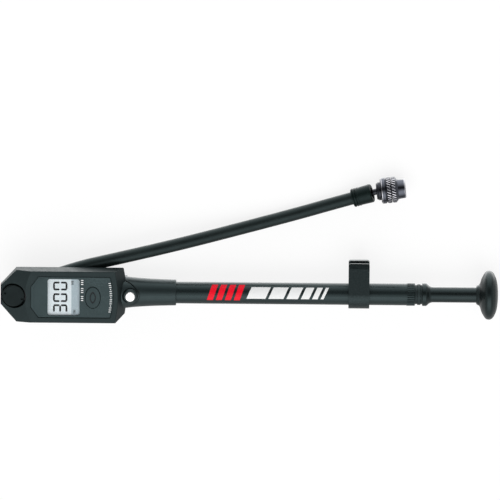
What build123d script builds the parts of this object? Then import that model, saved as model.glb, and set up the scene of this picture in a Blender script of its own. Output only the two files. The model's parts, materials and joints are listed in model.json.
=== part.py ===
from build123d import *

import os
from math import cos, pi, radians, sin, sqrt, tan

# Digital shock pump, lying on the flat back of its gauge head, display up. Millimetres.
#
# +X runs along the barrel from the gauge head to the handle, +Z is the display's normal, and +Y is the
# side that the hose folds to. The origin is the bottom centre of the pump without its hose. Lengths along
# the pump are "stations", measured from the outer end of the gauge head, and "side" is measured from the
# barrel's axis.

# ---------------------------------------------------------------- driving dimensions
LENGTH = 365.5  # gauge head end to palm of the knob, handle pushed home
KNOB_RADIUS = 18.0
BARREL_RADIUS = 8.0
BARREL_BORE_RADIUS = 6.7
ROD_RADIUS = 3.5
HOSE_RADIUS = 4.65
CLEARANCE = 0.05  # radial, on everything that turns or slides
GAP = 0.1  # between neighbours that are only assembled together

HEAD_HALF_WIDTH = 19.9
HEAD_DRAFT = 2.0  # degrees, the side walls' taper towards the display
FACE_Z = 34.5  # display face
SPLIT_Z = 29.0  # seam between front and rear cover
TRAY_Z = 23.0  # underside of the gauge box, above the hose
FOOT_Z = 9.5  # top of the foot, below the hose
WALL = 1.8

CLIP_REACH = 24.3  # tips of the hose clip, from the barrel's axis

AXIS_Z = KNOB_RADIUS
AXIS_Y = (HEAD_HALF_WIDTH - CLIP_REACH) / 2  # puts the origin midway between head side and clip tips
HEAD_END = -LENGTH / 2

# stations along the barrel
SWIVEL_STATION = 9.7
WINDOW_STATION = 46.5
BUTTON_STATION = 67.9
SENSOR_STATION = 76.0
BATTERY_STATION = 62.0
BLEED_STATION = 95.2
SHOULDER_STATION = 104.0  # bottom of the barrel's socket
NECK_END = 129.0
BARREL_START = 105.4
BARREL_END = 298.2
CAP_END = 304.5
CLIP_START, CLIP_END = 255.6, 270.9
COLLAR_START = 309.7
GRIP_END = 349.5


def at(station, side=0.0, z=AXIS_Z):
    """Model coordinates of a point given by its station, its distance from the axis, and its height."""
    return (HEAD_END + station, AXIS_Y + side, z)


BARREL_AXIS = Axis(at(0), (1, 0, 0))
AXIAL_PLANE = Plane(origin=at(0), x_dir=(1, 0, 0), z_dir=(0, -1, 0))  # x is the station, y the radius


def level(z):
    """Horizontal sketch plane at a height, with x as station and y as side."""
    return Plane(origin=at(0, 0, z), x_dir=(1, 0, 0), z_dir=(0, 0, 1))


def outline(plane, points):
    """A face bounded by straight lines through the points."""
    with BuildSketch(plane) as face:
        with BuildLine():
            Polyline(*points, close=True)
        make_face()
    return face.sketch


# ---------------------------------------------------------------- gauge head: outer form
NOSE_HALF_WIDTH = 7.1
NOSE_CHAMFER = 11.7
FORM_END = 96.0  # blank's end, trimmed by the end cone
NOSE_CONE_STATION = 60.8  # the sloped nose is part of a wide cone about this station
NOSE_CONE_RADIUS = 42.6  # its rim on the display face
NOSE_SLOPE = tan(radians(20))
END_CONE_STATION = 2.5  # so is the end wall towards the barrel, which is steeper
END_CONE_RADIUS = 83.8
END_SLOPE = 0.54  # outward, per millimetre down
CORNER_RADIUS = 0.8  # where the end wall meets the hose side
CORNER_CUT = [(84.2, -19.9), (91.3, -14.8)]  # upright cut across the other corner, in plan


def head_form(inset):
    """The gauge head's form, or its cavity when inset is a wall thickness."""
    low, high = TRAY_Z + inset, FACE_Z - inset
    height = high - low
    with BuildPart() as form:
        with BuildSketch(level(low)):
            with BuildLine():
                Polyline(
                    (0, NOSE_HALF_WIDTH),
                    (NOSE_CHAMFER, HEAD_HALF_WIDTH),
                    (FORM_END, HEAD_HALF_WIDTH),
                    (FORM_END, -HEAD_HALF_WIDTH),
                    (NOSE_CHAMFER, -HEAD_HALF_WIDTH),
                    (0, -NOSE_HALF_WIDTH),
                    close=True,
                )
            make_face()
            offset(amount=-inset, kind=Kind.INTERSECTION)
        extrude(amount=height, taper=HEAD_DRAFT)
        with Locations(at(NOSE_CONE_STATION, 0, low)):
            Cone(
                NOSE_CONE_RADIUS + height / NOSE_SLOPE,
                NOSE_CONE_RADIUS,
                height,
                align=(Align.CENTER, Align.CENTER, Align.MIN),
                mode=Mode.INTERSECT,
            )
        end_radius = END_CONE_RADIUS - inset * sqrt(1 + END_SLOPE**2)
        with Locations(at(END_CONE_STATION, 0, low)):
            Cone(
                end_radius + height * END_SLOPE,
                end_radius,
                height,
                align=(Align.CENTER, Align.CENTER, Align.MIN),
                mode=Mode.INTERSECT,
            )
        end_corners = form.edges().filter_by(
            lambda edge: edge.center().X > HEAD_END + 80 and abs((edge @ 1 - edge @ 0).Z) > height / 2
        )
        fillet(end_corners.sort_by(Axis.Y)[-1], CORNER_RADIUS)
        near, far = (Vector(*point) for point in CORNER_CUT)
        run = (far - near).normalized()
        outward = Vector(run.Y, -run.X)
        near -= run * 10 + outward * inset
        with BuildSketch(level(low)):
            with BuildLine():
                corners = [near, near + run * 40, near + run * 40 + outward * 20, near + outward * 20]
                Polyline(*corners, close=True)
            make_face()
        extrude(amount=height, mode=Mode.SUBTRACT)
    return form.part


head_outside = head_form(0)
head_inside = head_form(WALL)

# screws that hold the two covers together, and the bosses they run in
COVER_SCREWS = [(24.0, 14.6), (24.0, -14.6), (79.5, 14.6), (79.5, -14.6)]
BOSS_RADIUS = 2.9
SCREW_RADIUS = 1.25
SCREW_HEAD_RADIUS = 2.2
SCREW_HEAD_Z = 24.6  # top of the screw heads
SCREW_TIP_Z = 31.2

# swivel cap and bleed valve seats
CAP_RADIUS = 8.2
CAP_GAP = 1.1
CAP_TOP_Z = 31.7
CAP_RIM_Z = 26.0  # lower edge of the cap's skirt
EYE_RADIUS, EYE_TOP = 7.2, 28.9  # the core's swivel boss, inside the skirt
BLEED_POCKET_RADIUS = 5.85
BLEED_POCKET_Z = 26.2

# ---------------------------------------------------------------- display side
PANEL_DEPTH = 0.8
PANEL_GAP = 0.5
BUTTON_GAP = 0.4
WINDOW_LENGTH, WINDOW_WIDTH = 23.2, 27.4
WINDOW_RADIUS = 1.6
BUTTON_RX, BUTTON_RY = 5.5, 8.0


def panel_face(inset):
    """The inset panel's outline: chamfered towards the nose, bowed towards the barrel."""
    with BuildSketch(level(FACE_Z)) as face:
        with BuildLine():
            Polyline((80.8, -15.8), (27.9, -15.8), (22.0, -7.9), (22.0, 7.9), (27.9, 15.8), (80.8, 15.8))
            ThreePointArc((80.8, 15.8), (83.2, 0), (80.8, -15.8))
        make_face()
        fillet(face.vertices().sort_by(Axis.X)[-2:], 1.4)
        if inset:
            offset(amount=-inset)
    return face.sketch


def window_face(z, grow):
    """The display opening, larger by grow all round."""
    with BuildSketch(level(z)) as face:
        with Locations((WINDOW_STATION, 0)):
            RectangleRounded(WINDOW_LENGTH + 2 * grow, WINDOW_WIDTH + 2 * grow, WINDOW_RADIUS)
    return face.sketch


def button_face(z, grow):
    """The power button's oval, larger by grow all round."""
    with BuildSketch(level(z)) as face:
        with Locations((BUTTON_STATION, 0)):
            Ellipse(BUTTON_RX + grow, BUTTON_RY + grow)
    return face.sketch


def bleed_pad_face(grow):
    """Outline of the pad round the bleed valve: bowed towards the head, pointed towards the barrel."""
    corner, flank, tip = (90.6, 10.2 + grow), (97.6 + grow / 2, 6.6 + grow), (101.9 + grow, 0)
    with BuildSketch(level(AXIS_Z)) as face:
        with BuildLine():
            ThreePointArc(corner, (88.6 - grow, 0), (corner[0], -corner[1]))
            Spline(
                (corner[0], -corner[1]),
                (flank[0], -flank[1]),
                tip,
                flank,
                corner,
                tangents=[(1, 0.35), (-1, 0.35)],
            )
        make_face()
        fillet(face.vertices(), 1.0)
    return face.sketch


with BuildPart() as front_cover:
    add(head_outside)
    split(bisect_by=Plane.XY.offset(SPLIT_Z), keep=Keep.TOP)
    face_edges = front_cover.faces().sort_by(Axis.Z)[-1].edges()
    fillet(face_edges, 0.5)
    add(head_inside, mode=Mode.SUBTRACT)
    with Locations([at(x, y, SPLIT_Z) for x, y in COVER_SCREWS]):
        Cylinder(BOSS_RADIUS, FACE_Z - WALL - SPLIT_Z, align=(Align.CENTER, Align.CENTER, Align.MIN))
    with Locations([at(x, y, SPLIT_Z) for x, y in COVER_SCREWS]):
        Cylinder(
            SCREW_RADIUS + GAP / 2,
            SCREW_TIP_Z + GAP - SPLIT_Z,
            align=(Align.CENTER, Align.CENTER, Align.MIN),
            mode=Mode.SUBTRACT,
        )
    extrude(panel_face(0), amount=-PANEL_DEPTH, mode=Mode.SUBTRACT)
    extrude(window_face(FACE_Z, GAP), amount=-4, mode=Mode.SUBTRACT)
    extrude(button_face(FACE_Z, BUTTON_GAP), amount=-4, mode=Mode.SUBTRACT)
    with Locations(at(SWIVEL_STATION, 0, SPLIT_Z)):
        Cylinder(CAP_RADIUS + CAP_GAP, 12, mode=Mode.SUBTRACT)
    extrude(bleed_pad_face(0.2), amount=FACE_Z - AXIS_Z, mode=Mode.SUBTRACT)

# shallow outline moulded into the panel around the display glass
GROOVE_WIDTH, GROOVE_DEPTH = 0.3, 0.2

with BuildPart() as face_panel:
    extrude(panel_face(PANEL_GAP), amount=-PANEL_DEPTH)
    panel_rim = face_panel.faces().sort_by(Axis.Z)[-1].edges()
    chamfer(panel_rim, 0.2)
    extrude(window_face(FACE_Z, GAP), amount=-PANEL_DEPTH, mode=Mode.SUBTRACT)
    extrude(button_face(FACE_Z, BUTTON_GAP), amount=-PANEL_DEPTH, mode=Mode.SUBTRACT)
    with BuildSketch(level(FACE_Z)):
        with BuildLine():
            groove = Polyline(
                (31.6, -14.0), (28.9, -14.0), (24.9, -7.2), (24.9, 7.2), (28.9, 14.0), (31.6, 14.0)
            )
            offset(groove, amount=GROOVE_WIDTH, side=Side.LEFT)
        make_face()
    extrude(amount=-GROOVE_DEPTH, mode=Mode.SUBTRACT)

with BuildPart() as display_window:
    extrude(window_face(FACE_Z - 0.15, 0), amount=-1.6)
    chamfer(display_window.faces().sort_by(Axis.Z)[-1].edges(), 0.2)

LCD_TOP = FACE_Z - WALL - 0.05
BOARD_Z, BOARD_THICK = 29.6, 1.0

with BuildPart() as lcd_module:
    with Locations(at(WINDOW_STATION, 0, LCD_TOP - 0.8)):
        Box(WINDOW_LENGTH + 1.6, WINDOW_WIDTH + 1.6, 1.6 - GAP)

with BuildPart() as contact_strips:
    strip_height = LCD_TOP - 1.6 - BOARD_Z - BOARD_THICK
    with Locations(
        at(WINDOW_STATION - 11, 0, BOARD_Z + BOARD_THICK), at(WINDOW_STATION + 11, 0, BOARD_Z + BOARD_THICK)
    ):
        Box(1.6, WINDOW_WIDTH - 2, strip_height, align=(Align.CENTER, Align.CENTER, Align.MIN))

with BuildPart() as circuit_board:
    with BuildSketch(level(BOARD_Z)):
        with Locations((52.5, 0)):
            RectangleRounded(47.5, 30, 1.5)
        with Locations((SENSOR_STATION, 0)):
            Circle(3.4, mode=Mode.SUBTRACT)
    extrude(amount=BOARD_THICK)

with BuildPart() as button_switch:
    with Locations(at(BUTTON_STATION, 0, BOARD_Z + BOARD_THICK)):
        Box(4.5, 4.5, 0.6, align=(Align.CENTER, Align.CENTER, Align.MIN))
    with Locations(at(BUTTON_STATION, 0, BOARD_Z + BOARD_THICK + 0.6)):
        Cylinder(1.2, 0.3, align=(Align.CENTER, Align.CENTER, Align.MIN))

BUTTON_TOP = FACE_Z + 0.45
BUTTON_FLANGE_Z = FACE_Z - WALL - 0.1  # the flange under the cover keeps the button in

with BuildPart() as power_button:
    extrude(button_face(BUTTON_TOP, 0), amount=BUTTON_FLANGE_Z - BUTTON_TOP)
    fillet(power_button.faces().sort_by(Axis.Z)[-1].edges(), 0.4)
    with BuildSketch(level(BUTTON_TOP)):
        for half_width, half_length, mode in ((2.3, 4.6, Mode.ADD), (1.5, 3.4, Mode.SUBTRACT)):
            ends = (BUTTON_STATION, -half_length), (BUTTON_STATION, half_length)
            with BuildLine():
                ThreePointArc(ends[0], (BUTTON_STATION - half_width, 0), ends[1])
                ThreePointArc(ends[1], (BUTTON_STATION + half_width, 0), ends[0])
            make_face(mode=mode)
    extrude(amount=-0.4, mode=Mode.SUBTRACT)
    extrude(button_face(BUTTON_FLANGE_Z, 0.9), amount=-0.45)

# ---------------------------------------------------------------- rear cover: the tray under the gauge
SPINDLE_RADIUS = 3.95
MANIFOLD_HALF = 4.1
BAR_Z, BAR_TOP = TRAY_Z + WALL + GAP, 28.4
RISER_START, RISER_END = 77.2, 85.8
BODY_SCREWS = [(74.0, 6.4), (74.0, -6.4)]

with BuildPart() as rear_cover:
    add(head_outside)
    split(bisect_by=Plane.XY.offset(SPLIT_Z), keep=Keep.BOTTOM)
    add(head_inside, mode=Mode.SUBTRACT)
    with Locations([at(x, y, TRAY_Z) for x, y in COVER_SCREWS]):
        Cylinder(BOSS_RADIUS, SPLIT_Z - TRAY_Z, align=(Align.CENTER, Align.CENTER, Align.MIN))
    with Locations([at(x, y, TRAY_Z) for x, y in COVER_SCREWS]):
        Cylinder(SCREW_HEAD_RADIUS + GAP, 2 * (SCREW_HEAD_Z - TRAY_Z), mode=Mode.SUBTRACT)
        Cylinder(SCREW_RADIUS + GAP / 2, 20, mode=Mode.SUBTRACT)
    with Locations(at(SWIVEL_STATION, 0, TRAY_Z)):
        Cylinder(SPINDLE_RADIUS + 0.3, 8, mode=Mode.SUBTRACT)
    with Locations(at(SWIVEL_STATION, 0, CAP_RIM_Z - GAP)):
        Cylinder(CAP_RADIUS + CAP_GAP, 12, align=(Align.CENTER, Align.CENTER, Align.MIN), mode=Mode.SUBTRACT)
    with Locations([at(x, y, TRAY_Z) for x, y in BODY_SCREWS]):
        Cylinder(SCREW_RADIUS + GAP / 2, 8, mode=Mode.SUBTRACT)
    with Locations(at((RISER_START + RISER_END) / 2, 0, TRAY_Z)):
        Box(RISER_END - RISER_START + 2 * GAP, 2 * (MANIFOLD_HALF + GAP), 8, mode=Mode.SUBTRACT)
    extrude(bleed_pad_face(0.2), amount=FACE_Z - AXIS_Z, mode=Mode.SUBTRACT)


def screws(places, head_z, tip_z):
    """Pan-head screws pointing up from head_z, or down where the tip is lower."""
    up = 1 if tip_z > head_z else -1
    with BuildPart() as group:
        for station, side in places:
            with BuildSketch(level(head_z)):
                with Locations((station, side)):
                    Circle(SCREW_HEAD_RADIUS)
            extrude(amount=-1.4 * up)
            with BuildSketch(level(head_z - 1.4 * up)):
                with Locations((station, side)):
                    Rectangle(2.6, 0.6)
                    Rectangle(0.6, 2.6)
            extrude(amount=0.8 * up, mode=Mode.SUBTRACT)
            with BuildSketch(level(head_z)):
                with Locations((station, side)):
                    Circle(SCREW_RADIUS)
            extrude(amount=tip_z - head_z)
    return group.part


with BuildPart() as cover_screws:
    add(screws(COVER_SCREWS, SCREW_HEAD_Z - GAP, SCREW_TIP_Z))

with BuildPart() as body_screws:
    add(screws(BODY_SCREWS, TRAY_Z + WALL, 15.0))

# ---------------------------------------------------------------- main body: foot, waist and neck
FOOT_START, FOOT_END = 27.0, 90.0
FOOT_HALF_WIDTH = 12.4
CORE_RADIUS = 6.45  # metal core's cylinder in line with the barrel
CORE_START, CORE_END = 81.0, 99.6
BATTERY_DOOR_RADIUS = 11.0
BATTERY_DOOR_THICK = 1.6
CELL_RADIUS = 10.0  # CR2032
CELL_Z, CELL_THICK = 1.9, 3.2
CELL_POCKET_TOP = 5.8

NECK_FLARE = [(86, 12.6), (100, 9.9), (NECK_END, 9.5)]  # station and radius
PAD_HEIGHT = 0.6  # of the bleed valve's pad, above the neck
PAD_GROOVE, PAD_GROOVE_DEPTH = 0.5, 0.9  # round the pad


def neck(grow):
    """The neck's solid of revolution, larger by grow."""
    with BuildPart() as form:
        with BuildSketch(AXIAL_PLANE):
            with BuildLine():
                flare = Bezier(*[(station, radius + grow) for station, radius in NECK_FLARE])
                Polyline(flare @ 1, (NECK_END, 0), (NECK_FLARE[0][0], 0), flare @ 0)
            make_face()
        revolve(axis=BARREL_AXIS)
    return form.part


with BuildPart() as bleed_pad:
    extrude(bleed_pad_face(0), amount=20)
    add(neck(PAD_HEIGHT), mode=Mode.INTERSECT)

with BuildPart() as bleed_pad_groove:
    extrude(bleed_pad_face(PAD_GROOVE), amount=20)
    add(neck(-PAD_GROOVE_DEPTH), mode=Mode.SUBTRACT)

with BuildPart() as main_body:
    with BuildSketch(level(0)):
        with Locations(((FOOT_START + FOOT_END) / 2, 0)):
            RectangleRounded(FOOT_END - FOOT_START, 2 * FOOT_HALF_WIDTH, 6)
    extrude(amount=FOOT_Z)
    fillet(main_body.faces().sort_by(Axis.Z)[-1].edges(), 2.5)
    chamfer(main_body.faces().sort_by(Axis.Z)[0].edges(), 0.8)
    with BuildSketch(level(FOOT_Z)):
        with BuildLine():
            Polyline((48, 4.2), (70, 8.6), (93, 10.6), (93, -10.6), (70, -8.6), (48, -4.2), close=True)
        make_face()
    extrude(amount=TRAY_Z - FOOT_Z)
    add(neck(0))
    mouth = main_body.edges().filter_by(GeomType.CIRCLE).sort_by(Axis.X)[-1]
    fillet(mouth, 0.8)
    add(head_outside, mode=Mode.SUBTRACT)
    add(bleed_pad_groove, mode=Mode.SUBTRACT)
    add(bleed_pad)
    with Locations(at(BLEED_STATION, 0, AXIS_Z)):
        Cylinder(4.25, 20, align=(Align.CENTER, Align.CENTER, Align.MIN), mode=Mode.SUBTRACT)
    revolve(
        outline(
            AXIAL_PLANE,
            [
                (CORE_START - GAP, 0),
                (CORE_START - GAP, CORE_RADIUS + GAP / 2),
                (SHOULDER_STATION, CORE_RADIUS + GAP / 2),
                (SHOULDER_STATION, BARREL_RADIUS),
                (NECK_END + 1, BARREL_RADIUS),
                (NECK_END + 1, 0),
            ],
        ),
        axis=BARREL_AXIS,
        mode=Mode.SUBTRACT,
    )
    with Locations(at((RISER_START + RISER_END) / 2, 0, 13.9)):
        Box(
            RISER_END - RISER_START + 2 * GAP,
            2 * (MANIFOLD_HALF + GAP),
            12,
            align=(Align.CENTER, Align.CENTER, Align.MIN),
            mode=Mode.SUBTRACT,
        )
    with Locations(at(BLEED_STATION, 0, BLEED_POCKET_Z)):
        Cylinder(
            BLEED_POCKET_RADIUS, 20, align=(Align.CENTER, Align.CENTER, Align.MIN), mode=Mode.SUBTRACT
        )
    with Locations([at(x, y, TRAY_Z) for x, y in BODY_SCREWS]):
        Cylinder(SCREW_RADIUS + GAP / 2, 16.2, mode=Mode.SUBTRACT)
    with Locations(at(BATTERY_STATION, 0, 0)):
        Cylinder(BATTERY_DOOR_RADIUS + GAP, 2 * (BATTERY_DOOR_THICK + GAP), mode=Mode.SUBTRACT)
        Cylinder(CELL_RADIUS + 0.3, 2 * CELL_POCKET_TOP, mode=Mode.SUBTRACT)

# ---------------------------------------------------------------- battery
with BuildPart() as battery_door:
    with BuildSketch(level(0.2)):
        with Locations((BATTERY_STATION, 0)):
            Circle(BATTERY_DOOR_RADIUS - CLEARANCE)
    extrude(amount=BATTERY_DOOR_THICK - 0.2)
    chamfer(battery_door.faces().sort_by(Axis.Z)[0].edges(), 0.3)
    with BuildSketch(level(0.2)):
        with Locations((BATTERY_STATION, 0)):
            SlotOverall(14, 1.8)
    extrude(amount=0.9, mode=Mode.SUBTRACT)

with BuildPart() as coin_cell:
    with Locations(at(BATTERY_STATION, 0, CELL_Z)):
        Cylinder(CELL_RADIUS, CELL_THICK, align=(Align.CENTER, Align.CENTER, Align.MIN))
    fillet(coin_cell.edges().filter_by(GeomType.CIRCLE), 0.4)

with BuildPart() as battery_contact:
    with BuildSketch(level(CELL_Z + CELL_THICK)):
        with Locations((BATTERY_STATION, 0)):
            SlotOverall(16, 3)
    extrude(amount=0.3)

# ---------------------------------------------------------------- metal core: barrel to swivel
CHAMBER_RADIUS = 3.2
CHAMBER_START = 86.0
PASSAGE_RADIUS = 1.0
PASSAGE_STATION = 83.5
PASSAGE_Z = 26.6
SENSOR_RADIUS = 2.8

with BuildPart() as manifold:
    with Locations(at((SWIVEL_STATION + RISER_END) / 2, 0, BAR_Z)):
        Box(
            RISER_END - SWIVEL_STATION,
            2 * MANIFOLD_HALF,
            BAR_TOP - BAR_Z,
            align=(Align.CENTER, Align.CENTER, Align.MIN),
        )
    with Locations(at((RISER_START + RISER_END) / 2, 0, 14)):
        Box(
            RISER_END - RISER_START,
            2 * MANIFOLD_HALF,
            BAR_TOP - 14,
            align=(Align.CENTER, Align.CENTER, Align.MIN),
        )
    revolve(
        outline(
            AXIAL_PLANE,
            [(CORE_START, 0), (CORE_START, CORE_RADIUS), (CORE_END, CORE_RADIUS), (CORE_END, 0)],
        ),
        axis=BARREL_AXIS,
    )
    with Locations(at(BLEED_STATION, 0, AXIS_Z)):
        Cylinder(4.2, BLEED_POCKET_Z - AXIS_Z, align=(Align.CENTER, Align.CENTER, Align.MIN))
    with Locations(at(SWIVEL_STATION, 0, BAR_Z)):
        Cylinder(EYE_RADIUS, EYE_TOP - BAR_Z, align=(Align.CENTER, Align.CENTER, Align.MIN))
    # the core's top corners clear the gauge box's end wall
    with BuildSketch(level(TRAY_Z)):
        with Locations(((RISER_END + CORE_END) / 2, 0)):
            Rectangle(CORE_END - RISER_END, 2 * CORE_RADIUS + 1)
        with Locations((BLEED_STATION, 0)):
            Circle(4.2, mode=Mode.SUBTRACT)
    extrude(amount=6, mode=Mode.SUBTRACT)
    # check chamber, passage up the riser and along the bar, bleed bore, sensor seat and swivel bore
    revolve(
        outline(
            AXIAL_PLANE,
            [
                (PASSAGE_STATION - PASSAGE_RADIUS, 0),
                (PASSAGE_STATION - PASSAGE_RADIUS, PASSAGE_RADIUS),
                (CHAMBER_START, PASSAGE_RADIUS),
                (CHAMBER_START, CHAMBER_RADIUS),
                (CORE_END, CHAMBER_RADIUS),
                (CORE_END, 0),
            ],
        ),
        axis=BARREL_AXIS,
        mode=Mode.SUBTRACT,
    )
    with Locations(at(PASSAGE_STATION, 0, AXIS_Z)):
        Cylinder(
            PASSAGE_RADIUS,
            PASSAGE_Z - AXIS_Z,
            align=(Align.CENTER, Align.CENTER, Align.MIN),
            mode=Mode.SUBTRACT,
        )
    with BuildSketch(Plane(origin=at(SWIVEL_STATION, 0, PASSAGE_Z), x_dir=(0, 1, 0), z_dir=(1, 0, 0))):
        Circle(PASSAGE_RADIUS)
    extrude(amount=PASSAGE_STATION - SWIVEL_STATION, mode=Mode.SUBTRACT)
    with Locations(at(BLEED_STATION, 0, AXIS_Z)):
        Cylinder(1.3, 20, align=(Align.CENTER, Align.CENTER, Align.MIN), mode=Mode.SUBTRACT)
        Cylinder(2.4, 4.0, align=(Align.CENTER, Align.CENTER, Align.MIN), mode=Mode.SUBTRACT)
    with Locations(at(SENSOR_STATION, 0, PASSAGE_Z + PASSAGE_RADIUS - 0.4)):
        Cylinder(
            SENSOR_RADIUS + GAP / 2, 4, align=(Align.CENTER, Align.CENTER, Align.MIN), mode=Mode.SUBTRACT
        )
    with Locations(at(SWIVEL_STATION, 0, BAR_Z)):
        Cylinder(SPINDLE_RADIUS + CLEARANCE, 20, mode=Mode.SUBTRACT)

with BuildPart() as pressure_sensor:
    with Locations(at(SENSOR_STATION, 0, PASSAGE_Z + PASSAGE_RADIUS - 0.4)):
        Cylinder(SENSOR_RADIUS, 3.6, align=(Align.CENTER, Align.CENTER, Align.MIN))

with BuildPart() as swivel_cap:
    with BuildSketch(level(CAP_RIM_Z)):
        with Locations((SWIVEL_STATION, 0)):
            Circle(CAP_RADIUS)
    extrude(amount=CAP_TOP_Z - CAP_RIM_Z)
    fillet(swivel_cap.faces().sort_by(Axis.Z)[-1].edges(), 0.7)
    with BuildSketch(level(CAP_RIM_Z)):
        with Locations((SWIVEL_STATION, 0)):
            Circle(EYE_RADIUS + CLEARANCE)
    extrude(amount=CAP_TOP_Z - CAP_RIM_Z - 1.6, mode=Mode.SUBTRACT)
    with Locations(at(SWIVEL_STATION + 5, 0, 0)):
        Box(10, 2 * (MANIFOLD_HALF + GAP), 2 * (BAR_TOP + GAP), mode=Mode.SUBTRACT)
    with BuildSketch(level(CAP_TOP_Z)):
        with Locations((SWIVEL_STATION, 0)):
            with PolarLocations(6.5, 2, start_angle=161):
                Circle(0.9)
    extrude(amount=-1.1, mode=Mode.SUBTRACT)

# ---------------------------------------------------------------- check valve, at the foot of the barrel
SEAT_HOLE_RADIUS = 1.4
BALL_RADIUS = 2.0
SEAT_FACE = 101.2
BALL_STATION = SEAT_FACE - sqrt(BALL_RADIUS**2 - SEAT_HOLE_RADIUS**2) - 0.02

with BuildPart() as check_seat:
    revolve(
        outline(
            AXIAL_PLANE,
            [
                (CORE_END, CHAMBER_RADIUS),
                (CORE_END, CORE_RADIUS),
                (BARREL_START - 1.4, CORE_RADIUS),
                (BARREL_START - 1.4, SEAT_HOLE_RADIUS),
                (SEAT_FACE, SEAT_HOLE_RADIUS),
                (SEAT_FACE, CHAMBER_RADIUS),
            ],
        ),
        axis=BARREL_AXIS,
    )

with BuildPart() as check_ball:
    with Locations(at(BALL_STATION)):
        Sphere(BALL_RADIUS)


def coil_spring(start, direction, length, radius, wire, turns):
    """A compression spring: one closed solid swept along a helix, from start along direction."""
    pitch = (length - 2 * wire) / turns
    with BuildPart() as spring:
        with BuildLine() as coil:
            Helix(
                pitch=pitch,
                height=pitch * turns,
                radius=radius,
                center=Vector(*start) + Vector(*direction) * wire,
                direction=direction,
            )
        with BuildSketch(Plane(origin=coil.line @ 0, z_dir=coil.line % 0)):
            Circle(wire)
        sweep(is_frenet=True)
    return spring.part


SPRING_START = CHAMBER_START + 0.1

with BuildPart() as check_spring:
    add(coil_spring(at(SPRING_START), (1, 0, 0), BALL_STATION - BALL_RADIUS - SPRING_START, 1.25, 0.2, 7))

with BuildPart() as barrel_seal:
    with BuildSketch(AXIAL_PLANE):
        with Locations((SHOULDER_STATION + 0.7, 7.3)):
            Circle(0.68)
    revolve(axis=BARREL_AXIS)

# ---------------------------------------------------------------- bleed valve
BLEED_TOP = 32.2
BLEED_RADIUS = 3.6
BLEED_HEAD = 2.4
BLEED_STEM_RADIUS = 0.9
BLEED_SEAL_Z = 20.9

with BuildPart() as bleed_collar:
    with BuildSketch(level(BLEED_POCKET_Z)):
        with Locations((BLEED_STATION, 0)):
            Circle(5.5)
            Circle(BLEED_RADIUS + CLEARANCE, mode=Mode.SUBTRACT)
    extrude(amount=4.6)
    chamfer(bleed_collar.faces().sort_by(Axis.Z)[-1].edges().sort_by(SortBy.RADIUS)[-1], 1.0)

with BuildPart() as bleed_button:
    with BuildSketch(level(BLEED_TOP)):
        with Locations((BLEED_STATION, 0)):
            Circle(BLEED_RADIUS)
    extrude(amount=-BLEED_HEAD)
    fillet(bleed_button.faces().sort_by(Axis.Z)[-1].edges(), 0.7)
    with BuildSketch(level(BLEED_TOP - BLEED_HEAD)):
        with Locations((BLEED_STATION, 0)):
            Circle(BLEED_STEM_RADIUS)
    extrude(amount=-(BLEED_TOP - BLEED_HEAD - BLEED_SEAL_Z))

with BuildPart() as bleed_spring:
    add(coil_spring(at(BLEED_STATION, 0, 26.3), (0, 0, 1), BLEED_TOP - BLEED_HEAD - 26.35, 2.2, 0.25, 4))

with BuildPart() as bleed_seal:
    with BuildSketch(level(BLEED_SEAL_Z)):
        with Locations((BLEED_STATION, 0)):
            Circle(1.9)
            Circle(BLEED_STEM_RADIUS, mode=Mode.SUBTRACT)
    extrude(amount=1.0)

# ---------------------------------------------------------------- barrel and its gland
with BuildPart() as barrel:
    revolve(
        outline(
            AXIAL_PLANE,
            [
                (BARREL_START, BARREL_BORE_RADIUS),
                (BARREL_START, BARREL_RADIUS),
                (BARREL_END, BARREL_RADIUS),
                (BARREL_END, BARREL_BORE_RADIUS),
            ],
        ),
        axis=BARREL_AXIS,
    )

GLAND_START = 288.0
CAP_OUTER = 8.25
KNURLS = 36
BUSH_RADIUS = 4.7

with BuildPart() as end_cap:
    revolve(
        outline(
            AXIAL_PLANE,
            [
                (GLAND_START, BUSH_RADIUS),
                (GLAND_START, BARREL_BORE_RADIUS - CLEARANCE),
                (BARREL_END, BARREL_BORE_RADIUS - CLEARANCE),
                (BARREL_END, CAP_OUTER),
                (CAP_END - 0.5, CAP_OUTER),
                (CAP_END, CAP_OUTER - 0.5),
                (CAP_END, BUSH_RADIUS),
            ],
        ),
        axis=BARREL_AXIS,
    )
    with BuildSketch(Plane(origin=at(BARREL_END + 0.6), x_dir=(0, 1, 0), z_dir=(1, 0, 0))):
        with PolarLocations(CAP_OUTER + 0.1, KNURLS):
            Rectangle(0.7, 0.7, rotation=45)
    extrude(amount=CAP_END - BARREL_END, mode=Mode.SUBTRACT)

with BuildPart() as rod_bush:
    with BuildSketch(Plane(origin=at(GLAND_START + 0.5), x_dir=(0, 1, 0), z_dir=(1, 0, 0))):
        Circle(BUSH_RADIUS)
        Circle(ROD_RADIUS + CLEARANCE, mode=Mode.SUBTRACT)
    extrude(amount=CAP_END - GLAND_START - 1.0)

with BuildPart() as bumper:
    revolve(
        outline(
            AXIAL_PLANE,
            [
                (CAP_END + 0.02, ROD_RADIUS + CLEARANCE),
                (CAP_END + 0.02, 7.0),
                (CAP_END + 1.4, 7.0),
                (CAP_END + 1.7, 7.6),
                (CAP_END + 3.9, 7.6),
                (CAP_END + 4.2, 7.0),
                (COLLAR_START - 0.05, 7.0),
                (COLLAR_START - 0.05, ROD_RADIUS + CLEARANCE),
            ],
        ),
        axis=BARREL_AXIS,
    )

# ---------------------------------------------------------------- hose clip on the barrel
CLIP_RING_RADIUS = 10.6
CLIP_POCKET_SIDE = 17.0
CLIP_POCKET_RADIUS = 4.75
CLIP_ARM_RADIUS = 7.1
CLIP_MOUTH = 7.4
CLIP_CORNER = 1.5  # in plan

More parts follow.
